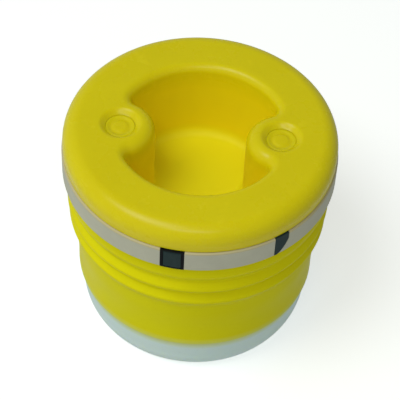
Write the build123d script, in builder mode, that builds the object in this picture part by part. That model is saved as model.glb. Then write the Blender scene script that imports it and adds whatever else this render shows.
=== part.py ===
from build123d import *
from math import cos, radians, sin
import os

# Compact plastic chain stanchion. Millimetres, +Z up.
# The origin is the middle of the circle that the foot ring stands on.
# The two columns in the grip well stand close to +X and -X.

# Overall
total_height = 89.3
running_gap = 0.3

# Collar band between cap and body
collar_radius = 50.5
collar_bottom = 70.0
collar_top = 79.4
collar_bore = 38.7
pocket_floor_radius = 40.2
band_middle = (collar_bottom + collar_top) / 2

# Cap rim and grip well
cap_bottom = collar_top + running_gap
rim_radius = 50.1
skirt_bottom = collar_top + 0.12
rim_roll = 6.0
rim_centre_radius = rim_radius - rim_roll
rim_centre_height = total_height - rim_roll
lip_roll = 3.2
lip_centre_radius = 33.7
lip_centre_height = total_height - lip_roll
well_top_radius = lip_centre_radius - lip_roll
well_floor_radius = 28.3
well_floor = 56.6
well_floor_fillet = 2.6
well_wall = 2.2
column_angles = (-5, 179)
lobe_distance = 29.2
lobe_radius = 12.6
lobe_top = total_height - 0.15
lobe_fillet = 4.5
crease_fillet = 3.5
tower_foot = 66.0
plug_radius = 5.4
plug_thickness = 3.0
plug_sink = 1.7
plug_top = total_height - plug_sink
plug_groove_radius = 3.6
plug_groove_depth = 0.9
dimple_slope = 39

# Screws in the columns
head_pocket_radius = 3.9
head_pocket_depth = 3.1
head_seat = plug_top - plug_thickness - head_pocket_depth
tower_head_radius = 3.5
tower_head_height = 2.6
tower_screw_length = 19.0

# Neck, bayonet and lock
neck_bore = 35.3
neck_radius = 38.6
neck_bottom = 66.2
neck_top = 79.0
neck_lip_radius = 40.6
neck_lip_bottom = 65.2
sleeve_bore = 33.0
sleeve_radius = 35.0
sleeve_bottom = 61.6
lug_radius = 37.0
lug_half_angle = 14
lug_angles = (30, 150, 270)
ear_length = 10.2
ear_width = 11.0
ear_inset = 0.6
twist_to_lug_gap = 60
twist_range = 45
slot_clearance = 2.6
pin_height = 75.3
pin_radius = 1.3

# Chain sockets and release buttons round the collar
socket_angles = {"front": -99, "rear": 81}
button_angles = {"right": -53, "left": 127}
socket_width = 8.6
socket_wall = 0.5
socket_side = 1.0
socket_back = 41.3
flap_pivot_radius = 49.5
flap_pivot_height = 77.95
flap_knuckle = 0.85
flap_trunnion = 0.5
flap_thickness = 1.4
button_width = 5.7
button_back = 44.6

# Body
shoulder_top = 69.6
body_wall = 2.6
body_bottom = 18.8
body_floor = 21.8
body_foot_radius = 45.3
body_top_radius = 49.4
boss_radius = 5.4
boss_height = 11.5
insert_radius = 2.9
insert_length = 8.0
insert_pocket_depth = 9.6

# Base
base_top = 18.4
base_bottom = 1.0
cup_floor = 4.2
ballast_radius = 38.8
ballast_top = 16.0
base_screw_circle = 26.0
pillar_radius = 5.6
screw_radius = 2.0
screw_clearance = 2.2
base_head_pocket = 4.0
base_head_radius = 3.6
base_head_height = 2.4
base_screw_length = 21.0
drive_radius = 1.3
drive_depth = 1.4
ballast_bore = 8.0
foot_inner = 31.5
foot_outer = 37.0
foot_top = 2.2

os.makedirs("parts", exist_ok=True)


def radial_plane(angle):
    """A plane at the origin whose x axis points outwards at this angle, with z up."""
    return Plane.XY.rotated((0, 0, angle))


def on_columns(height, inset=0):
    """Both columns' axes at this height, or spots nearer to the object's axis by the inset."""
    spots = []
    for angle in column_angles:
        spots.append(Location(radial_plane(angle)) * Location((lobe_distance - inset, 0, height)))
    return Locations(*spots)


def radial_section(angle):
    """An upright plane through the object's axis: x is the radius, y is the height."""
    outwards = (cos(radians(angle)), sin(radians(angle)), 0)
    sideways = (sin(radians(angle)), -cos(radians(angle)), 0)
    return Plane(origin=(0, 0, 0), x_dir=outwards, z_dir=sideways)


def ring_sector(inner, outer, low, high, start, end):
    """A piece of a ring between two angles, counted anticlockwise from +X."""
    section = radial_section(start)
    with BuildPart() as sector:
        with BuildSketch(section):
            with Locations(((inner + outer) / 2, (low + high) / 2)):
                Rectangle(outer - inner, high - low)
        revolve(axis=Axis.Z, revolution_arc=end - start)
    return sector.part


def flat_ring(inner, outer, low, high):
    """A plain washer-shaped ring."""
    with BuildPart() as ring:
        with BuildSketch(Plane.XY.offset(low)):
            Circle(outer)
            Circle(inner, mode=Mode.SUBTRACT)
        extrude(amount=high - low)
    return ring.part


def finish(piece, name):
    """Label a piece and write its STEP file."""
    piece.label = name
    export_step(piece, f"parts/{name}.step")


# ---------------------------------------------------------------- grip cap
# The two half-round columns, with rounded tops.
with BuildPart() as lobe_columns:
    with on_columns(well_floor - 1):
        Cylinder(
            lobe_radius,
            lobe_top - well_floor + 1,
            align=(Align.CENTER, Align.CENTER, Align.MIN),
        )
    fillet(lobe_columns.edges().group_by(Axis.Z)[-1], radius=lobe_fillet)

# The space of the grip well: a tapered round pocket with a rolled lip, less the two columns.
with BuildPart() as well_space:
    with BuildSketch(Plane.XZ):
        with BuildLine():
            Polyline((0, well_floor), (well_floor_radius, well_floor), (well_top_radius, lip_centre_height))
            ThreePointArc(
                (well_top_radius, lip_centre_height),
                (
                    lip_centre_radius - lip_roll * cos(radians(45)),
                    lip_centre_height + lip_roll * sin(radians(45)),
                ),
                (lip_centre_radius, total_height),
            )
            Polyline(
                (lip_centre_radius, total_height),
                (lip_centre_radius, total_height + 1),
                (0, total_height + 1),
                (0, well_floor),
            )
        make_face()
    revolve(axis=Axis.Z)
    add(lobe_columns.part, mode=Mode.SUBTRACT)
    upright_creases = well_space.edges().filter_by(
        lambda edge: abs(edge.tangent_at(0.5).Z) > 0.95 and edge.length > 15
    )
    fillet(upright_creases, radius=crease_fillet)
    fillet(well_space.faces().sort_by(Axis.Z)[0].edges(), radius=well_floor_fillet)

# The dimple in each column's top, above its plug.
with BuildPart() as lobe_dimples:
    with BuildSketch(Plane.XY.offset(plug_top)):
        with on_columns(0):
            Circle(plug_radius + 0.1)
    extrude(amount=plug_sink + 0.3, taper=-dimple_slope)

with BuildPart() as grip_cap:
    with BuildSketch(Plane.XZ):
        with BuildLine():
            Polyline(
                (0, well_floor - well_wall),
                (well_floor_radius - 1, well_floor - well_wall),
                (well_floor_radius + well_wall, well_floor + 1),
                (well_top_radius + well_wall - 0.4, cap_bottom),
                (neck_radius, cap_bottom),
                (neck_radius, lip_centre_height - 0.5),
                (rim_centre_radius - 2, total_height - 3.2),
                (rim_centre_radius + 1.5, total_height - 3.2),
                (rim_radius - 2.8, rim_centre_height),
                (rim_radius - 3.0, skirt_bottom),
                (rim_radius - 0.1, skirt_bottom),
                (rim_radius, rim_centre_height),
            )
            RadiusArc(
                (rim_radius, rim_centre_height),
                (rim_centre_radius, total_height),
                -rim_roll,
            )
            Polyline(
                (rim_centre_radius, total_height),
                (0, total_height),
                (0, well_floor - well_wall),
            )
        make_face()
    revolve(axis=Axis.Z)
    add(well_space.part, mode=Mode.SUBTRACT)
    add(lobe_dimples.part, mode=Mode.SUBTRACT)
    with on_columns(0):
        # plug bore, screw head pocket, screw hole, and the pocket for the sleeve's ear
        with Locations((0, 0, plug_top - plug_thickness)):
            Cylinder(
                plug_radius + 0.1,
                plug_thickness + 0.1,
                align=(Align.CENTER, Align.CENTER, Align.MIN),
                mode=Mode.SUBTRACT,
            )
        with Locations((0, 0, head_seat)):
            Cylinder(
                head_pocket_radius,
                head_pocket_depth + 0.1,
                align=(Align.CENTER, Align.CENTER, Align.MIN),
                mode=Mode.SUBTRACT,
            )
        with Locations((0, 0, tower_foot - 1)):
            Cylinder(
                screw_clearance,
                head_seat - tower_foot + 2,
                align=(Align.CENTER, Align.CENTER, Align.MIN),
                mode=Mode.SUBTRACT,
            )
        with Locations((0, 0, well_floor - well_wall - 1)):
            Cylinder(
                lobe_radius - 2.5,
                tower_foot - well_floor + well_wall + 1,
                align=(Align.CENTER, Align.CENTER, Align.MIN),
                mode=Mode.SUBTRACT,
            )
finish(grip_cap.part, "grip_cap")

# ---------------------------------------------------------------- plugs in the columns' tops
with BuildPart() as lobe_plugs:
    with on_columns(plug_top):
        Cylinder(plug_radius, plug_thickness, align=(Align.CENTER, Align.CENTER, Align.MAX))
        Torus(plug_groove_radius, plug_groove_depth, mode=Mode.SUBTRACT)
finish(lobe_plugs.part, "lobe_plugs")

# ---------------------------------------------------------------- screws through the columns
with BuildPart() as tower_screws:
    with on_columns(head_seat):
        Cylinder(tower_head_radius, tower_head_height, align=(Align.CENTER, Align.CENTER, Align.MIN))
        Cylinder(screw_radius - 0.05, tower_screw_length, align=(Align.CENTER, Align.CENTER, Align.MAX))
finish(tower_screws.part, "tower_screws")

# ---------------------------------------------------------------- lock sleeve under the cap
# Two arc slots let the button pins run from the locked position to the stop.
pin_slots = []
for button_angle in button_angles.values():
    pin_slots.append(
        ring_sector(
            sleeve_bore - 1,
            sleeve_radius + 1,
            pin_height - pin_radius - 0.2,
            pin_height + pin_radius + 0.2,
            button_angle - twist_range - slot_clearance,
            button_angle + slot_clearance,
        )
    )

lugs = []
for lug_angle in lug_angles:
    lugs.append(
        ring_sector(
            sleeve_radius - 0.5,
            lug_radius,
            sleeve_bottom + 1,
            neck_bottom - running_gap,
            lug_angle - lug_half_angle,
            lug_angle + lug_half_angle,
        )
    )

with BuildPart() as lock_sleeve:
    add(flat_ring(sleeve_bore, sleeve_radius, sleeve_bottom, cap_bottom))
    # an ear for each of the two screws
    with on_columns(sleeve_bottom, inset=ear_inset):
        Box(
            ear_length,
            ear_width,
            tower_foot - sleeve_bottom,
            align=(Align.CENTER, Align.CENTER, Align.MIN),
        )
    with on_columns(sleeve_bottom):
        Cylinder(screw_radius, 20, mode=Mode.SUBTRACT)
    add(lugs)
    add(pin_slots, mode=Mode.SUBTRACT)
finish(lock_sleeve.part, "lock_sleeve")

# ---------------------------------------------------------------- seal and bearing on the neck
with BuildPart() as neck_gasket:
    add(flat_ring(neck_bore + 0.2, neck_bore + 1.4, neck_top, cap_bottom - 0.1))
finish(neck_gasket.part, "neck_gasket")

with BuildPart() as glide_ring:
    add(flat_ring(neck_bore + 1.6, neck_radius - 0.2, neck_top, cap_bottom - 0.1))
finish(glide_ring.part, "glide_ring")

# ---------------------------------------------------------------- collar
# The outline of a release button seen from outside: square at the top and at its left side,
# and cut away in an arc at its lower right.
half_button = button_width / 2
button_low = collar_bottom + 0.1
button_high = collar_top - 0.1


def button_block(angle, inner, outer, grow):
    """The button's outline, larger by grow all round, between two distances from the axis."""
    plane = Plane(
        origin=(inner * cos(radians(angle)), inner * sin(radians(angle)), 0),
        x_dir=(-sin(radians(angle)), cos(radians(angle)), 0),
        z_dir=(cos(radians(angle)), sin(radians(angle)), 0),
    )
    with BuildPart() as block:
        with BuildSketch(plane) as outline:
            with BuildLine():
                Polyline(
                    (-0.3 * button_width, button_low),
                    (-half_button, button_low),
                    (-half_button, button_high),
                    (half_button, button_high),
                    (half_button, button_high - 3.1),
                )
                ThreePointArc(
                    (half_button, button_high - 3.1),
                    (0.14 * button_width, button_low + 2.4),
                    (-0.3 * button_width, button_low),
                )
            make_face()
            if grow > 0:
                offset(amount=grow, kind=Kind.INTERSECTION)
        extrude(amount=outer - inner)
    return block.part


button_pockets = [
    button_block(angle, pocket_floor_radius, collar_radius + 2, 0.2) for angle in button_angles.values()
]

# The collar is two halves that close round the neck and meet at the two chain sockets.
for side, start in {"right": socket_angles["front"], "left": socket_angles["rear"]}.items():
    with BuildPart() as collar_half:
        add(ring_sector(collar_bore, collar_radius, collar_bottom, collar_top, start, start + 180))
        chamfer(collar_half.edges().filter_by(GeomType.CIRCLE).sort_by(SortBy.RADIUS)[-2:], length=0.4)
        add(button_pockets, mode=Mode.SUBTRACT)
        for angle in socket_angles.values():
            with Locations(radial_plane(angle)):
                with Locations((collar_bore - 5, 0, band_middle)):
                    Box(
                        20,
                        socket_width + 0.1,
                        collar_top - collar_bottom + 1,
                        align=(Align.MIN, Align.CENTER, Align.CENTER),
                        mode=Mode.SUBTRACT,
                    )
        with Locations(radial_plane(button_angles[side])):
            with Locations((collar_bore, 0, pin_height)):
                Cylinder(pin_radius + 0.2, 6, rotation=(0, 90, 0), mode=Mode.SUBTRACT)
    finish(collar_half.part, f"collar_half_{side}")

# ---------------------------------------------------------------- chain sockets with their flaps
socket_low = collar_bottom + 0.05
socket_high = collar_top - 0.05
pocket_width = socket_width - 2 * socket_side
flap_width = pocket_width - 0.3
flap_bottom = socket_low + socket_wall + 0.15
flap_face = collar_radius - 0.1

for side, angle in socket_angles.items():
    with BuildPart(radial_plane(angle)) as chain_socket:
        with Locations((pocket_floor_radius + 0.1, 0, socket_low)):
            Box(
                collar_radius - pocket_floor_radius,
                socket_width,
                socket_high - socket_low,
                align=(Align.MIN, Align.CENTER, Align.MIN),
            )
        # the pocket: open at the front, with thin floor and roof
        with Locations((socket_back, 0, socket_low + socket_wall)):
            Box(
                collar_radius,
                pocket_width,
                socket_high - socket_low - 2 * socket_wall,
                align=(Align.MIN, Align.CENTER, Align.MIN),
                mode=Mode.SUBTRACT,
            )
        with Locations((flap_pivot_radius, 0, flap_pivot_height)):
            Cylinder(flap_trunnion + 0.06, socket_width + 1, rotation=(90, 0, 0), mode=Mode.SUBTRACT)
        with Locations((0, 0, band_middle)):
            Cylinder(collar_radius - 0.05, 20, mode=Mode.INTERSECT)
    finish(chain_socket.part, f"chain_socket_{side}")

    with BuildPart(radial_plane(angle)) as socket_flap:
        with Locations((flap_face, 0, flap_bottom)):
            Box(
                flap_thickness,
                flap_width,
                flap_pivot_height - flap_bottom,
                align=(Align.MAX, Align.CENTER, Align.MIN),
            )
        with Locations((flap_pivot_radius, 0, flap_pivot_height)):
            Cylinder(flap_knuckle, flap_width, rotation=(90, 0, 0))
            Cylinder(flap_trunnion, socket_width - 0.1, rotation=(90, 0, 0))
        with Locations((0, 0, band_middle)):
            Cylinder(flap_face, 20, mode=Mode.INTERSECT)
    finish(socket_flap.part, f"socket_flap_{side}")

# A bowed leaf at the back of each pocket.
leaf_low = socket_low + 1.2
leaf_high = leaf_low + 4.6
leaf_bow = 0.9
leaf_thickness = 0.2
with BuildPart() as clip_springs:
    for angle in socket_angles.values():
        with BuildSketch(radial_section(angle)):
            with BuildLine():
                ThreePointArc(
                    (socket_back, leaf_low),
                    (socket_back + leaf_bow, (leaf_low + leaf_high) / 2),
                    (socket_back, leaf_high),
                )
                Line((socket_back, leaf_high), (socket_back, leaf_high - 0.5))
                ThreePointArc(
                    (socket_back, leaf_high - 0.5),
                    (socket_back + leaf_bow - leaf_thickness, (leaf_low + leaf_high) / 2),
                    (socket_back, leaf_low + 0.5),
                )
                Line((socket_back, leaf_low + 0.5), (socket_back, leaf_low))
            make_face()
        extrude(amount=2.0, both=True)
finish(clip_springs.part, "clip_springs")

# ---------------------------------------------------------------- release buttons and their springs
pin_tip = sleeve_bore + 0.7
pin_waist = pin_tip + 0.9
waist_length = 1.8
waist_radius = 0.8
spring_wire = 0.2
spring_pitch = 1.0
spring_radius = 1.85
spring_start = pocket_floor_radius + spring_wire + 0.05
spring_length = button_back - spring_start - spring_wire - 0.05

for side, angle in button_angles.items():
    plate = button_block(angle, button_back, collar_radius + 1, 0)
    with BuildPart() as release_button:
        add(plate)
        with Locations((0, 0, band_middle)):
            Cylinder(collar_radius - 0.05, 20, mode=Mode.INTERSECT)
        with Locations(radial_plane(angle)):
            with Locations((pin_tip, 0, pin_height)):
                Cylinder(
                    pin_radius,
                    button_back - pin_tip + 0.5,
                    rotation=(0, 90, 0),
                    align=(Align.CENTER, Align.CENTER, Align.MIN),
                )
            # the waist that can pass the narrow end of the sleeve's slot when the button is pressed
            with Locations((pin_waist, 0, pin_height)):
                Cylinder(
                    pin_radius,
                    waist_length,
                    rotation=(0, 90, 0),
                    align=(Align.CENTER, Align.CENTER, Align.MIN),
                    mode=Mode.SUBTRACT,
                )
                Cylinder(
                    waist_radius,
                    waist_length,
                    rotation=(0, 90, 0),
                    align=(Align.CENTER, Align.CENTER, Align.MIN),
                )
    finish(release_button.part, f"release_button_{side}")

    outwards = Vector(cos(radians(angle)), sin(radians(angle)), 0)
    spring_foot = outwards * spring_start + Vector(0, 0, pin_height)
    with BuildPart() as button_spring:
        with BuildLine():
            coil = Helix(
                pitch=spring_pitch,
                height=spring_length,
                radius=spring_radius,
                center=spring_foot,
                direction=outwards,
            )
        with BuildSketch(Plane(origin=coil @ 0, z_dir=coil % 0)):
            Circle(spring_wire)
        sweep(is_frenet=True)
    finish(button_spring.part, f"button_spring_{side}")

# ---------------------------------------------------------------- collar gasket
with BuildPart() as collar_gasket:
    add(flat_ring(neck_radius + 0.3, body_top_radius - 0.6, shoulder_top, collar_bottom))
finish(collar_gasket.part, "collar_gasket")

# ---------------------------------------------------------------- body shell
# The outer wall from the base joint up to the shoulder, with its bead and two ribs.
rib_outline = (
    (body_foot_radius, body_bottom),
    (45.4, 30.0),
    (46.0, 39.5),
    (46.6, 44.8),
    (48.4, 48.7),
    (46.9, 52.3),
    (48.9, 55.8),
    (47.4, 59.7),
    (49.0, 63.6),
    (48.5, 67.2),
    (body_top_radius, shoulder_top),
)
with BuildPart() as body_shell:
    with BuildSketch(Plane.XZ):
        with BuildLine():
            Spline(*rib_outline)
            Polyline(
                (body_top_radius, shoulder_top),
                (neck_radius, shoulder_top),
                (neck_radius, shoulder_top - body_wall),
                (body_top_radius - body_wall - 1, shoulder_top - body_wall),
                (44.9, 60.0),
                (43.6, 44.0),
                (42.4, 36.0),
                (42.4, body_floor),
                (0, body_floor),
                (0, body_bottom),
                (body_foot_radius, body_bottom),
            )
        make_face()
    revolve(axis=Axis.Z)
    # three bosses in the floor take the inserts of the base screws
    with Locations((0, 0, body_bottom)):
        with PolarLocations(base_screw_circle, 3, start_angle=90):
            Cylinder(boss_radius, boss_height, align=(Align.CENTER, Align.CENTER, Align.MIN))
            Cylinder(
                insert_radius + 0.05,
                insert_pocket_depth,
                align=(Align.CENTER, Align.CENTER, Align.MIN),
                mode=Mode.SUBTRACT,
            )
finish(body_shell.part, "body_shell")

# ---------------------------------------------------------------- neck ring
# It is welded into the shoulder from below. Its inner lip holds the sleeve's lugs down,
# and three gaps in that lip let them in.
entry_gaps = []
for lug_angle in lug_angles:
    entry_gaps.append(
        ring_sector(
            neck_bore - 1,
            lug_radius + running_gap,
            neck_bottom - 1,
            neck_top + 1,
            lug_angle + twist_to_lug_gap - lug_half_angle - 2,
            lug_angle + twist_to_lug_gap + lug_half_angle + 2,
        )
    )

with BuildPart() as neck_ring:
    with BuildSketch(Plane.XZ):
        with BuildLine():
            Polyline(
                (neck_radius, neck_top),
                (neck_bore, neck_top),
                (neck_bore, neck_bottom),
                (neck_radius - 1, neck_bottom),
                (neck_radius - 1, neck_lip_bottom),
                (neck_lip_radius, neck_lip_bottom),
                (neck_lip_radius, shoulder_top - body_wall),
                (neck_radius, shoulder_top - body_wall),
                (neck_radius, neck_top),
            )
        make_face()
    revolve(axis=Axis.Z)
    add(entry_gaps, mode=Mode.SUBTRACT)
    for angle in button_angles.values():
        with Locations(radial_plane(angle)):
            with Locations((neck_bore + 1.5, 0, pin_height)):
                Cylinder(pin_radius + 0.2, 8, rotation=(0, 90, 0), mode=Mode.SUBTRACT)
finish(neck_ring.part, "neck_ring")

# ---------------------------------------------------------------- base
with BuildPart() as base_inserts:
    with Locations((0, 0, body_bottom + 0.1)):
        with PolarLocations(base_screw_circle, 3, start_angle=90):
            Cylinder(insert_radius, insert_length, align=(Align.CENTER, Align.CENTER, Align.MIN))
            Cylinder(
                screw_radius + 0.05,
                insert_length,
                align=(Align.CENTER, Align.CENTER, Align.MIN),
                mode=Mode.SUBTRACT,
            )
finish(base_inserts.part, "base_inserts")

with BuildPart() as base_gasket:
    add(flat_ring(42.2, 44.6, base_top, body_bottom))
finish(base_gasket.part, "base_gasket")

with BuildPart() as base_cup:
    with BuildSketch(Plane.XZ):
        with BuildLine():
            Polyline(
                (foot_inner, base_bottom),
                (foot_inner, foot_top),
                (foot_outer, foot_top),
                (foot_outer, base_bottom),
                (41.0, base_bottom),
            )
            ThreePointArc((41.0, base_bottom), (42.7, 4.0), (43.6, 9.0))
            Polyline(
                (43.6, 9.0),
                (44.9, base_top),
                (42.0, base_top),
                (39.4, cup_floor),
                (0, cup_floor),
                (0, base_bottom),
                (foot_inner, base_bottom),
            )
        make_face()
    revolve(axis=Axis.Z)
    # three pillars carry the body's floor, each with a screw hole and a pocket for its head
    with Locations((0, 0, cup_floor - 1)):
        with PolarLocations(base_screw_circle, 3, start_angle=90):
            Cylinder(
                pillar_radius,
                body_bottom - cup_floor + 1,
                align=(Align.CENTER, Align.CENTER, Align.MIN),
            )
    with Locations((0, 0, base_bottom)):
        with PolarLocations(base_screw_circle, 3, start_angle=90):
            Cylinder(
                base_head_radius + 0.4,
                base_head_pocket,
                align=(Align.CENTER, Align.CENTER, Align.MIN),
                mode=Mode.SUBTRACT,
            )
            Cylinder(
                screw_clearance,
                body_bottom,
                align=(Align.CENTER, Align.CENTER, Align.MIN),
                mode=Mode.SUBTRACT,
            )
finish(base_cup.part, "base_cup")

with BuildPart() as base_screws:
    with Locations((0, 0, base_bottom + base_head_pocket)):
        with PolarLocations(base_screw_circle, 3, start_angle=90):
            Cylinder(base_head_radius, base_head_height, align=(Align.CENTER, Align.CENTER, Align.MAX))
            Cylinder(screw_radius, base_screw_length, align=(Align.CENTER, Align.CENTER, Align.MIN))
            with Locations((0, 0, -base_head_height)):
                Cylinder(
                    drive_radius,
                    drive_depth,
                    align=(Align.CENTER, Align.CENTER, Align.MIN),
                    mode=Mode.SUBTRACT,
                )
finish(base_screws.part, "base_screws")

with BuildPart() as ballast_disc:
    with BuildSketch(Plane.XY.offset(cup_floor)):
        Circle(ballast_radius)
        Circle(ballast_bore, mode=Mode.SUBTRACT)
        with PolarLocations(base_screw_circle, 3, start_angle=90):
            Circle(pillar_radius + 0.4, mode=Mode.SUBTRACT)
    extrude(amount=ballast_top - cup_floor)
    chamfer(ballast_disc.edges().filter_by(GeomType.CIRCLE).sort_by(SortBy.RADIUS)[-2:], length=0.8)
finish(ballast_disc.part, "ballast_disc")

with BuildPart() as foot_ring:
    add(flat_ring(foot_inner, foot_outer, 0, foot_top))
    fillet(foot_ring.edges().group_by(Axis.Z)[0], radius=0.6)
finish(foot_ring.part, "foot_ring")
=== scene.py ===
from math import acos, atan2, cos, hypot, pi, radians, sin

import bmesh
import bpy
from mathutils import Matrix, Vector


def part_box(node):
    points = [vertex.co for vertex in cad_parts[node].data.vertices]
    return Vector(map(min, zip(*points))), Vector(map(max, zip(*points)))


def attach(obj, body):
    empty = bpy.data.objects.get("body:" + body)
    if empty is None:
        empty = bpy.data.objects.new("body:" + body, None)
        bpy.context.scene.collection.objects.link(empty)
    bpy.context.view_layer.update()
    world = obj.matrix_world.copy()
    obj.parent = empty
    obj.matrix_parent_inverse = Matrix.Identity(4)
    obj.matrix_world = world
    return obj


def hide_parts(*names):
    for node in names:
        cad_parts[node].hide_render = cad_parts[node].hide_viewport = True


# Low round plastic chain stanchion. Metres, in the CAD model's frame.
# The cap and its two plugs have skins of their own, which follow the sizes of the CAD parts.
# Every other piece is the CAD part's mesh with a new material.

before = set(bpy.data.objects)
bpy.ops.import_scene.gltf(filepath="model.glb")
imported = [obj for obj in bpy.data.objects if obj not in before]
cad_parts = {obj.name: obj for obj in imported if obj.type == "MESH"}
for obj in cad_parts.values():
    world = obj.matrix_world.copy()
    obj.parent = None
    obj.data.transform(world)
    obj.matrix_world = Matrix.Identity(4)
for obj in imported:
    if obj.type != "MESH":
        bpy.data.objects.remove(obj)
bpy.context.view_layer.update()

MM = 0.001

cap_low, cap_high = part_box("grip_cap")
collar_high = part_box("collar_half_right")[1]
body_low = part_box("body_shell")[0]
cup_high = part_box("base_cup")[1]
plug_low, plug_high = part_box("lobe_plugs")
glide_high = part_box("glide_ring")[1]

TOP = cap_high.z
RIM_RADIUS = cap_high.x
PLUG_TOP = plug_high.z
PLUG_RADIUS = 5.4 * MM
LOBE_ANGLES = (-5, 179)
LOBE_DISTANCE = (plug_high.x - PLUG_RADIUS) / cos(radians(LOBE_ANGLES[0]))
WELL_FLOOR = 56.6 * MM

# ------------------------------------------------------------------ materials


class Nodes:
    """A small helper that adds shader nodes and links them."""

    def __init__(self, name):
        self.material = bpy.data.materials.new(name)
        self.material.use_nodes = True
        self.tree = self.material.node_tree
        self.shader = self.tree.nodes["Principled BSDF"]
        self.place = self.add("ShaderNodeTexCoord").outputs["Object"]

    def add(self, kind, **values):
        node = self.tree.nodes.new(kind)
        for key, value in values.items():
            setattr(node, key, value)
        return node

    def link(self, source, target):
        self.tree.links.new(source, target)

    def noise(self, scale, detail=4.0, roughness=0.55, stretch=None):
        """Noise over the object's own space, which may be stretched along its axes."""
        node = self.add("ShaderNodeTexNoise")
        node.inputs["Scale"].default_value = scale
        node.inputs["Detail"].default_value = detail
        node.inputs["Roughness"].default_value = roughness
        place = self.place
        if stretch:
            mapping = self.add("ShaderNodeMapping")
            mapping.inputs["Scale"].default_value = stretch
            self.link(place, mapping.inputs["Vector"])
            place = mapping.outputs["Vector"]
        self.link(place, node.inputs["Vector"])
        return node.outputs["Fac"]

    def ramp(self, value, low, high, start=0.0, end=1.0):
        """Maps value from low..high to start..end, and clamps it."""
        node = self.add("ShaderNodeMapRange")
        node.inputs["From Min"].default_value = low
        node.inputs["From Max"].default_value = high
        node.inputs["To Min"].default_value = start
        node.inputs["To Max"].default_value = end
        self.link(value, node.inputs["Value"])
        return node.outputs["Result"]

    def math(self, operation, first, second):
        node = self.add("ShaderNodeMath", operation=operation)
        for socket, value in zip(node.inputs, (first, second)):
            if isinstance(value, float):
                socket.default_value = value
            else:
                self.link(value, socket)
        return node.outputs["Value"]

    def mix(self, factor, first, second):
        """Mixes two colours; each may be a colour or another node's output."""
        node = self.add("ShaderNodeMix", data_type="RGBA")
        self.link(factor, node.inputs["Factor"])
        for label, value in (("A", first), ("B", second)):
            colour_socket = [s for s in node.inputs if s.type == "RGBA" and s.name == label][0]
            if isinstance(value, tuple):
                colour_socket.default_value = (*value, 1.0)
            else:
                self.link(value, colour_socket)
        return [s for s in node.outputs if s.type == "RGBA"][0]

    def bump(self, heights):
        """Adds bumps, given as (height, strength, distance), one on top of the other."""
        normal = None
        for height, strength, distance in heights:
            node = self.add("ShaderNodeBump")
            node.inputs["Strength"].default_value = strength
            node.inputs["Distance"].default_value = distance
            self.link(height, node.inputs["Height"])
            if normal:
                self.link(normal, node.inputs["Normal"])
            normal = node.outputs["Normal"]
        self.link(normal, self.shader.inputs["Normal"])


def srgb(red, green, blue):
    """An 8-bit display colour as linear light."""
    linear = []
    for value in (red, green, blue):
        share = value / 255
        linear.append(share / 12.92 if share <= 0.04045 else ((share + 0.055) / 1.055) ** 2.4)
    return tuple(linear)


def moulded_plastic(
    name,
    colour,
    shade,
    roughness,
    grain=0.15,
    soft=0.0,
    specular=0.4,
    wear_share=0.3,
    bands=(),
    dull=None,
):
    """Moulded plastic: slow colour drift, dark specks, faint scuffs, paler worn edges and a fine grain.
    The colour drifts between colour and shade. soft is the share of light that spreads inside.
    Each band is (from, to, tint, share): between these heights the colour goes over to the tint. Some
    callers use bands to paint light.
    dull is (from, to, extra): between these heights the roughness rises by the extra."""
    n = Nodes(name)
    drift = n.ramp(n.noise(22, 3), 0.35, 0.65)
    base = n.mix(drift, colour, shade)
    specks = n.ramp(n.noise(900, 2), 0.60, 0.74, 0.0, 0.25)
    base = n.mix(specks, base, tuple(c * 0.86 for c in shade))
    scuffs = n.ramp(n.noise(160, 6, 0.7, stretch=(1.0, 1.0, 5.0)), 0.60, 0.72, 0.0, 0.35)
    base = n.mix(scuffs, base, tuple(min(1.0, c * 1.10 + 0.01) for c in colour))
    edge = n.add("ShaderNodeNewGeometry").outputs["Pointiness"]
    worn_spots = n.ramp(n.noise(240, 5), 0.45, 0.65, 0.0, wear_share)
    wear = n.math("MULTIPLY", n.ramp(edge, 0.52, 0.60), worn_spots)
    base = n.mix(wear, base, tuple(min(1.0, c * 1.12 + 0.015) for c in colour))
    height = n.add("ShaderNodeSeparateXYZ")
    n.link(n.place, height.inputs["Vector"])
    for start, end, tint, share in bands:
        base = n.mix(n.ramp(height.outputs["Z"], start, end, 0.0, share), base, tint)
    n.link(base, n.shader.inputs["Base Color"])
    rough = n.ramp(n.noise(70, 5), 0.3, 0.7, roughness - 0.05, roughness + 0.06)
    rough = n.math("ADD", rough, n.math("MULTIPLY", scuffs, 0.25))
    if dull:
        rough = n.math("ADD", rough, n.ramp(height.outputs["Z"], dull[0], dull[1], 0.0, dull[2]))
    n.link(rough, n.shader.inputs["Roughness"])
    n.bump(
        (
            (n.noise(35, 2), 0.10, 0.0012),
            (n.noise(1400, 3), grain, 0.00006),
            (scuffs, 0.03, 0.00005),
        )
    )
    n.shader.inputs["Specular IOR Level"].default_value = specular
    if soft:
        n.shader.inputs["Subsurface Weight"].default_value = soft
        n.shader.inputs["Subsurface Radius"].default_value = (1.0, 0.9, 0.35)
        n.shader.inputs["Subsurface Scale"].default_value = 0.0025
    return n.material


def rubber(name, colour):
    """Dull rubber with a fine, uneven surface."""
    n = Nodes(name)
    base = n.mix(n.ramp(n.noise(90, 4), 0.35, 0.65), colour, tuple(c * 1.6 for c in colour))
    n.link(base, n.shader.inputs["Base Color"])
    n.link(n.ramp(n.noise(300, 4), 0.3, 0.7, 0.7, 0.9), n.shader.inputs["Roughness"])
    n.bump(((n.noise(800, 3), 0.3, 0.0001),))
    return n.material


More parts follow.
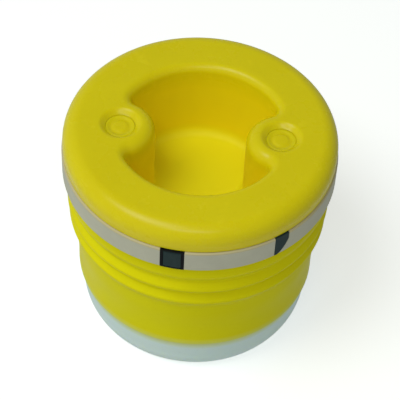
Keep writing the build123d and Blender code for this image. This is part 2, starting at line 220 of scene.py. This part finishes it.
def metal(name, colour, roughness, scale=400):
    """Bare metal, mottled in colour and roughness. scale is the fineness of the mottling."""
    n = Nodes(name)
    mottle = n.noise(scale, 4, 0.6)
    base = n.mix(n.ramp(mottle, 0.3, 0.7), colour, tuple(c * 0.78 for c in colour))
    n.link(base, n.shader.inputs["Base Color"])
    n.link(n.ramp(mottle, 0.3, 0.7, roughness - 0.08, roughness + 0.1), n.shader.inputs["Roughness"])
    n.shader.inputs["Metallic"].default_value = 1.0
    n.bump(((mottle, 0.2, 0.00005),))
    return n.material


yellow_top = moulded_plastic(
    "cap_yellow",
    (0.85, 0.71, 0.003),
    (0.82, 0.68, 0.002),
    0.27,
    grain=0.08,
    soft=0.4,
    specular=0.24,
    wear_share=0.06,
    # Painted light: from 3 to 10 mm under the top the yellow goes over to a brighter, oranger yellow,
    # which holds further down, for light spread through the walls and bounced inside the well. Near the
    # well's floor it goes over to a less orange yellow, for the floor's light.
    bands=(
        (TOP - 3 * MM, TOP - 10 * MM, (0.97, 0.765, 0.003), 1.0),
        (WELL_FLOOR + 5 * MM, WELL_FLOOR + 1 * MM, (0.90, 0.80, 0.004), 1.0),
    ),
    dull=(TOP - 6 * MM, TOP - 12 * MM, 0.3),
)
# The body's yellow is the plastic's own colour, tinted greener and lighter than the cap's. That tint is
# painted light: a painted reflection of cool light on the body.
yellow_body = moulded_plastic(
    "body_yellow",
    (0.92, 0.815, 0.003),
    (0.89, 0.785, 0.002),
    0.40,
    grain=0.12,
    soft=0.3,
    specular=0.05,
    wear_share=0.06,
    bands=((body_low.z + 3.0 * MM, body_low.z - 0.5 * MM, (0.78, 0.84, 0.25), 0.6),),
)
collar_grey = moulded_plastic(
    "collar_grey",
    srgb(202, 198, 176),
    srgb(194, 190, 170),
    0.5,
    grain=0.2,
    specular=0.2,
    # Painted highlight: the tan line along the band's top edge stands for light caught on that edge,
    # with yellow reflected from the cap above.
    bands=((collar_high.z - 1.2 * MM, collar_high.z - 0.7 * MM, srgb(206, 190, 138), 0.7),),
)
slate = moulded_plastic(
    "slate_plastic",
    srgb(42, 60, 60),
    srgb(36, 53, 53),
    0.5,
    grain=0.2,
    specular=0.12,
)
black_plastic = moulded_plastic(
    "black_plastic",
    srgb(18, 20, 22),
    srgb(12, 14, 16),
    0.6,
    specular=0.1,
)
pale_base = moulded_plastic(
    "pale_base",
    (0.82, 1.0, 0.93),
    (0.79, 0.98, 0.90),
    0.42,
    grain=0.12,
    soft=0.35,
    specular=0.2,
    bands=((cup_high.z - 4.5 * MM, cup_high.z, (0.76, 0.76, 0.16), 1.0),),
)
white_acetal = moulded_plastic("white_acetal", srgb(228, 226, 218), srgb(220, 218, 210), 0.35)
black_rubber = rubber("black_rubber", (0.012, 0.012, 0.012))
zinc = metal("zinc_steel", (0.62, 0.62, 0.63), 0.32)
spring_steel = metal("spring_steel", (0.5, 0.5, 0.51), 0.28)
brass = metal("brass", (0.70, 0.50, 0.20), 0.3)
iron = metal("cast_iron", (0.13, 0.13, 0.135), 0.6, scale=120)

node_materials = {
    "grip_cap": yellow_top,
    "lobe_plugs": yellow_top,
    "tower_screws": zinc,
    "lock_sleeve": white_acetal,
    "neck_gasket": black_rubber,
    "glide_ring": white_acetal,
    "collar_half_right": collar_grey,
    "collar_half_left": collar_grey,
    "chain_socket_front": black_plastic,
    "chain_socket_rear": black_plastic,
    "socket_flap_front": slate,
    "socket_flap_rear": slate,
    "clip_springs": spring_steel,
    "release_button_right": slate,
    "release_button_left": slate,
    "button_spring_right": spring_steel,
    "button_spring_left": spring_steel,
    "collar_gasket": black_rubber,
    "body_shell": yellow_body,
    "neck_ring": white_acetal,
    "base_inserts": brass,
    "base_gasket": black_rubber,
    "base_cup": pale_base,
    "base_screws": zinc,
    "ballast_disc": iron,
    "foot_ring": black_rubber,
}
for node_name, material in node_materials.items():
    for material_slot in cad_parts[node_name].material_slots:
        material_slot.link = "OBJECT"
        material_slot.material = material

# ------------------------------------------------------------------ mesh helpers
MERGE_DISTANCE = 0.0001 * MM
SHARP_EDGE = 60


def finish_mesh(name, verts, faces, material):
    """Makes an object from vertices and faces, with outward normals and smooth shading."""
    mesh = bpy.data.meshes.new(name)
    mesh.from_pydata(verts, [], faces)
    mesh.validate()
    bm = bmesh.new()
    bm.from_mesh(mesh)
    bmesh.ops.remove_doubles(bm, verts=bm.verts, dist=MERGE_DISTANCE)
    bmesh.ops.recalc_face_normals(bm, faces=bm.faces)
    bm.to_mesh(mesh)
    bm.free()
    mesh.shade_smooth()
    mesh.set_sharp_from_angle(angle=radians(SHARP_EDGE))
    mesh.materials.append(material)
    thing = bpy.data.objects.new(name, mesh)
    bpy.context.scene.collection.objects.link(thing)
    return thing


def lathe(name, outline, material, segments):
    """Turns a closed (radius, height) outline round the object's axis."""
    verts = []
    faces = []
    count = len(outline)
    for i in range(segments):
        turn = 2 * pi * i / segments
        for r, z in outline:
            verts.append((r * cos(turn), r * sin(turn), z))
    for i in range(segments):
        j = (i + 1) % segments
        for a in range(count):
            b = (a + 1) % count
            if outline[a][0] > 0 or outline[b][0] > 0:
                faces.append((i * count + a, j * count + a, j * count + b, i * count + b))
    return finish_mesh(name, verts, faces, material)


def smoothstep(low, high, value):
    """Rises smoothly from 0 at low to 1 at high."""
    share = max(0.0, min(1.0, (value - low) / (high - low)))
    return share * share * (3 - 2 * share)


def unit(angle):
    """The flat unit vector at an angle from +X."""
    return Vector((cos(angle), sin(angle)))


# ------------------------------------------------------------------ cap skin
LOBE_STEPS = 22
CREASE_STEPS = 10
WALL_STEPS = 26
FLOOR_SHARES = (0.15, 0.3, 0.45, 0.6, 0.75, 0.9)
FILLET_ROWS = 8
WALL_ROWS = 12
ROLL_ROWS = 12
CROWN_ROWS = 60
RIM_ROWS = 14
WELL_TOP = 30.5 * MM
WELL_FLOOR_RADIUS = 28.3 * MM
WELL_WALL = 2.2 * MM
FLOOR_FILLET = 3.3 * MM
LOBE_RADIUS = 12.6 * MM
CREASE_FILLET = 3.5 * MM
LIP_ROLL = 3.2 * MM
LOBE_ROLL = 4.5 * MM
RIM_ROLL = 6.0 * MM
DIMPLE_DEPTH = 1.9 * MM
DIMPLE_INNER = 4.7 * MM
DIMPLE_OUTER = 7.9 * MM
BORE_GAP = 0.04 * MM
NECK_RADIUS = glide_high.x + 0.2 * MM
CAP_BOTTOM = cap_low.z
SKIRT_BOTTOM = collar_high.z + 0.12 * MM
SKIRT_INNER = RIM_RADIUS - 3.0 * MM
UNDER_TOP = TOP - 3.2 * MM
CAP_SHARP_EDGE = 50
lobe_spots = [unit(radians(angle)) * LOBE_DISTANCE for angle in LOBE_ANGLES]


def flank(radius, lobe_angle, hand, wall_angle):
    """Half of a column's outline at one height, then the fillet and the wall up to wall_angle.
    hand is 1 for the anticlockwise half and -1 for the clockwise half."""
    reach = radius - CREASE_FILLET
    gap = LOBE_RADIUS + CREASE_FILLET
    crease = acos((reach**2 + LOBE_DISTANCE**2 - gap**2) / (2 * reach * LOBE_DISTANCE))
    centre = Vector((reach * cos(crease), reach * sin(crease)))
    lobe = Vector((LOBE_DISTANCE, 0))
    touch = (centre - lobe).normalized()
    lobe_end = atan2(touch.y, touch.x)
    wall_end = abs(radians(wall_angle - lobe_angle))
    points = []
    for k in range(LOBE_STEPS):
        arm = unit(pi - (pi - lobe_end) * k / LOBE_STEPS)
        points.append((lobe + arm * LOBE_RADIUS, -arm, 1.0))
    start = lobe_end - pi
    for k in range(CREASE_STEPS):
        share = k / CREASE_STEPS
        arm = unit(start + (crease - start) * share)
        points.append((centre + arm * CREASE_FILLET, arm, 1.0 - smoothstep(0, 1, share)))
    for k in range(WALL_STEPS + 1):
        arm = unit(crease + (wall_end - crease) * k / WALL_STEPS)
        points.append((arm * radius, arm, 0.0))
    turn = Matrix.Rotation(radians(lobe_angle), 2)
    placed = []
    for p, n, s in points:
        placed.append((turn @ Vector((p.x, p.y * hand)), turn @ Vector((n.x, n.y * hand)), s))
    return placed


def well_outline(radius):
    """The well's outline at one height: (point, outward normal, share of lobe) all the way round.
    It is made of wall arcs, lobe arcs and the fillets between them."""
    right, left = LOBE_ANGLES
    rear_wall = (right + left) / 2
    points = flank(radius, right, 1, rear_wall)
    points += reversed(flank(radius, left, -1, rear_wall)[:-1])
    points += flank(radius, left, 1, rear_wall + 180)[1:]
    points += reversed(flank(radius, right, -1, rear_wall - 180)[1:-1])
    return points


def roll_radius(share):
    """The radius of the roll from wall to top, at a point's share of lobe."""
    return LIP_ROLL + (LOBE_ROLL - LIP_ROLL) * share


def top_height(x, y):
    """The cap's flat top, with the dimple of each column."""
    away = min(hypot(x - spot.x, y - spot.y) for spot in lobe_spots)
    return TOP - DIMPLE_DEPTH * (1 - smoothstep(DIMPLE_INNER, DIMPLE_OUTER, away))


def well_rows():
    """The well's rows: its floor, the fillet, the wall and the roll up to the top."""
    rows = []
    at_floor = well_outline(WELL_FLOOR_RADIUS)
    for share in FLOOR_SHARES:
        row = []
        for p, n, _ in at_floor:
            q = (p - n * FLOOR_FILLET) * share
            row.append((q.x, q.y, WELL_FLOOR))
        rows.append(row)
    for k in range(FILLET_ROWS):
        angle = (pi / 2) * k / FILLET_ROWS
        row = []
        for p, n, _ in at_floor:
            q = p - n * FLOOR_FILLET * (1 - sin(angle))
            row.append((q.x, q.y, WELL_FLOOR + FLOOR_FILLET * (1 - cos(angle))))
        rows.append(row)
    foot = WELL_FLOOR + FLOOR_FILLET
    for k in range(WALL_ROWS):
        share = k / WALL_ROWS
        outline = well_outline(WELL_FLOOR_RADIUS + (WELL_TOP - WELL_FLOOR_RADIUS) * share)
        row = []
        for p, _, s in outline:
            head = TOP - roll_radius(s)
            row.append((p.x, p.y, foot + (head - foot) * share))
        rows.append(row)
    at_top = well_outline(WELL_TOP)
    for k in range(ROLL_ROWS + 1):
        angle = (pi / 2) * k / ROLL_ROWS
        row = []
        for p, n, s in at_top:
            roll = roll_radius(s)
            q = p + n * roll * (1 - cos(angle))
            row.append((q.x, q.y, TOP - roll * (1 - sin(angle))))
        rows.append(row)
    return rows


def cap_rows():
    """The rows of the cap's skin, from the well's floor up and over to the skirt, then underneath."""
    rows = well_rows()
    crown = RIM_RADIUS - RIM_ROLL
    lip = [Vector(v[:2]) for v in rows[-1]]
    directions = [q.normalized() for q in lip]
    for k in range(1, CROWN_ROWS + 1):
        row = []
        for q, d in zip(lip, directions):
            r = q.lerp(d * crown, k / CROWN_ROWS)
            row.append((r.x, r.y, top_height(r.x, r.y)))
        rows.append(row)
    round_rows = []
    for k in range(1, RIM_ROWS + 1):
        angle = (pi / 2) * k / RIM_ROWS
        round_rows.append((crown + RIM_ROLL * sin(angle), TOP - RIM_ROLL * (1 - cos(angle))))
    round_rows += [
        (RIM_RADIUS - 0.02 * MM, TOP - RIM_ROLL - 1.2 * MM),
        (RIM_RADIUS - 0.10 * MM, SKIRT_BOTTOM + 0.50 * MM),
        (RIM_RADIUS - 0.20 * MM, SKIRT_BOTTOM + 0.18 * MM),
        (RIM_RADIUS - 0.45 * MM, SKIRT_BOTTOM),
        (SKIRT_INNER, SKIRT_BOTTOM),
        (SKIRT_INNER - 0.2 * MM, SKIRT_BOTTOM + 0.4 * MM),
        (SKIRT_INNER + 0.1 * MM, TOP - RIM_ROLL),
        (crown + 1.5 * MM, UNDER_TOP),
        (crown - 2.0 * MM, UNDER_TOP),
        (NECK_RADIUS, UNDER_TOP),
        (NECK_RADIUS, SKIRT_BOTTOM),
        (WELL_TOP + WELL_WALL - 0.4 * MM, SKIRT_BOTTOM),
        (WELL_FLOOR_RADIUS + WELL_WALL, WELL_FLOOR + 1 * MM),
        (WELL_FLOOR_RADIUS - 1 * MM, CAP_BOTTOM),
        (WELL_FLOOR_RADIUS * 0.5, CAP_BOTTOM),
    ]
    for r, z in round_rows:
        rows.append([(r * d.x, r * d.y, z) for d in directions])
    return rows


def build_cap():
    """Joins the rows into one closed skin, with a pole in the well's floor and one underneath."""
    rows = cap_rows()
    count = len(rows[0])
    verts = [v for row in rows for v in row]
    faces = []
    for a in range(len(rows) - 1):
        for i in range(count):
            j = (i + 1) % count
            faces.append((a * count + i, a * count + j, (a + 1) * count + j, (a + 1) * count + i))
    verts.append((0, 0, WELL_FLOOR))
    verts.append((0, 0, CAP_BOTTOM))
    floor_pole = len(verts) - 2
    bottom_pole = len(verts) - 1
    last = (len(rows) - 1) * count
    for i in range(count):
        j = (i + 1) % count
        faces.append((floor_pole, j, i))
        faces.append((bottom_pole, last + i, last + j))
    return finish_mesh("cap_skin", verts, faces, yellow_top)


# ------------------------------------------------------------------ plugs and their bores
POST_SEGMENTS = 96
BORE_RADIUS = PLUG_RADIUS + BORE_GAP
BORE_TOP = TOP + 1 * MM
GROOVE_MIDDLE = 3.5 * MM
GROOVE_HALF = 1.6 * MM
GROOVE_DEPTH = 0.4 * MM
GROOVE_STEPS = 8


def cut(target, tool):
    """Cuts one closed mesh out of another, and removes the tool."""
    modifier = target.modifiers.new("cut", "BOOLEAN")
    modifier.operation = "DIFFERENCE"
    modifier.solver = "EXACT"
    modifier.object = tool
    graph = bpy.context.evaluated_depsgraph_get()
    result = bpy.data.meshes.new_from_object(target.evaluated_get(graph))
    target.modifiers.clear()
    target.data = result
    bpy.data.objects.remove(tool)


def post(name, spot, outline):
    """A turned yellow piece that stands at one of the columns' spots."""
    piece = lathe(name, outline, yellow_top, POST_SEGMENTS)
    piece.data.transform(Matrix.Translation((spot.x, spot.y, 0)))
    return piece


# The plugs' outline goes up the side, over a small edge and in across the groove.
plug_outline = [
    (0, plug_low.z),
    (PLUG_RADIUS, plug_low.z),
    (PLUG_RADIUS, PLUG_TOP - 0.22 * MM),
    (PLUG_RADIUS - 0.06 * MM, PLUG_TOP - 0.07 * MM),
    (PLUG_RADIUS - 0.22 * MM, PLUG_TOP),
]
for step in range(-GROOVE_STEPS, GROOVE_STEPS + 1):
    across = -GROOVE_HALF * step / GROOVE_STEPS
    sink = GROOVE_DEPTH * (1 + cos(pi * across / GROOVE_HALF)) / 2
    plug_outline.append((GROOVE_MIDDLE + across, PLUG_TOP - sink))
plug_outline.append((0, PLUG_TOP))

bore_outline = [(0, plug_low.z), (BORE_RADIUS, plug_low.z), (BORE_RADIUS, BORE_TOP), (0, BORE_TOP)]

cap_skin = build_cap()
plugs = []
for spot, side_name in zip(lobe_spots, ("right", "left")):
    cut(cap_skin, post("bore", spot, bore_outline))
    plugs.append(post(f"plug_{side_name}", spot, plug_outline))
cap_skin.data.shade_smooth()
cap_skin.data.set_sharp_from_angle(angle=radians(CAP_SHARP_EDGE))
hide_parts("grip_cap")
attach(cap_skin, "cap")
for plug in plugs:
    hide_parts("lobe_plugs")
    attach(plug, "cap")

# ------------------------------------------------------------------ camera, light and floor
VIEW_ELEVATION = 47.64
VIEW_ROLL = 2.83
VIEW_DISTANCE = 600 * MM
AIM_DOWN = 0.03285
AIM_RIGHT = -0.0001
SENSOR_WIDTH = 36.0
LENS_LENGTH = 147.96
LIGHT_AIM = Vector((0, 0, 50 * MM))
FLOOR_HALF = 3.0
FLOOR_GLOW = 0.5
WORLD_STRENGTH = 0.46
WORLD_SLOPE = (-0.15, -0.04, -0.24)


def make_camera():
    """Looks from -Y, down at the top of the collar, and aims lower so that the object is centred.
    The aim is a share of the distance, and the sensor and the lens are in millimetres."""
    target = Vector((0, 0, collar_high.z))
    tilt = radians(VIEW_ELEVATION)
    spot = target + VIEW_DISTANCE * Vector((0, -cos(tilt), sin(tilt)))
    forward = (target - spot).normalized()
    right = forward.cross(Vector((0, 0, 1))).normalized()
    up = right.cross(forward)
    roll = radians(VIEW_ROLL)
    right, up = right * cos(roll) + up * sin(roll), up * cos(roll) - right * sin(roll)
    forward = (forward + right * AIM_RIGHT - up * AIM_DOWN).normalized()
    right = forward.cross(up).normalized()
    up = right.cross(forward)
    data = bpy.data.cameras.new("view")
    data.sensor_width = SENSOR_WIDTH
    data.lens = LENS_LENGTH
    data.clip_start = 0.01
    data.clip_end = 10
    camera = bpy.data.objects.new("view", data)
    turn = Matrix((right, up, -forward)).transposed().to_4x4()
    camera.matrix_world = Matrix.Translation(spot) @ turn
    bpy.context.scene.collection.objects.link(camera)
    bpy.context.scene.camera = camera


def make_light(name, place, width, depth, power, colour):
    """A soft elliptical light that points at the object's middle."""
    data = bpy.data.lights.new(name, "AREA")
    data.shape = "ELLIPSE"
    data.size = width
    data.size_y = depth
    data.energy = power
    data.color = colour
    light = bpy.data.objects.new(name, data)
    light.location = place
    aim = LIGHT_AIM - Vector(place)
    light.rotation_euler = aim.to_track_quat("-Z", "Y").to_euler()
    bpy.context.scene.collection.objects.link(light)


def make_floor():
    """A pale floor that glows a little. Reflected light misses it, so it doesn't tint the object."""
    corners = ((-1, -1), (1, -1), (1, 1), (-1, 1))
    verts = [(x * FLOOR_HALF, y * FLOOR_HALF, 0) for x, y in corners]
    mesh = bpy.data.meshes.new("floor")
    mesh.from_pydata(verts, [], [(0, 1, 2, 3)])
    floor = bpy.data.objects.new("floor", mesh)
    bpy.context.scene.collection.objects.link(floor)
    n = Nodes("floor_white")
    base = n.mix(n.ramp(n.noise(6, 3), 0.3, 0.7), (0.86, 0.86, 0.85), (0.84, 0.84, 0.84))
    n.link(base, n.shader.inputs["Base Color"])
    n.shader.inputs["Roughness"].default_value = 0.9
    n.shader.inputs["Emission Color"].default_value = (1.0, 1.0, 1.0, 1.0)
    n.shader.inputs["Emission Strength"].default_value = FLOOR_GLOW
    mesh.materials.append(n.material)
    floor.visible_diffuse = False
    floor.visible_glossy = False


def make_world():
    """Even studio light, a little stronger from the left and from below."""
    world = bpy.data.worlds.new("studio")
    world.use_nodes = True
    tree = world.node_tree
    background = tree.nodes["Background"]
    background.inputs["Color"].default_value = (0.93, 1.0, 0.97, 1.0)
    direction = tree.nodes.new("ShaderNodeTexCoord").outputs["Generated"]
    slope = tree.nodes.new("ShaderNodeVectorMath")
    slope.operation = "DOT_PRODUCT"
    slope.inputs[1].default_value = WORLD_SLOPE
    tree.links.new(direction, slope.inputs[0])
    strength = tree.nodes.new("ShaderNodeMath")
    strength.operation = "ADD"
    strength.inputs[1].default_value = WORLD_STRENGTH
    tree.links.new(slope.outputs["Value"], strength.inputs[0])
    tree.links.new(strength.outputs["Value"], background.inputs["Strength"])
    bpy.context.scene.world = world


bpy.context.scene.view_settings.view_transform = "Standard"
make_camera()
make_world()
make_light("key", (-0.36, -0.22, 0.93), 0.5, 0.5, 3.3, (0.96, 1.0, 0.95))
make_light("front", (-0.06, -0.62, 0.95), 0.5, 0.12, 1.3, (0.95, 1.0, 0.97))
make_floor()
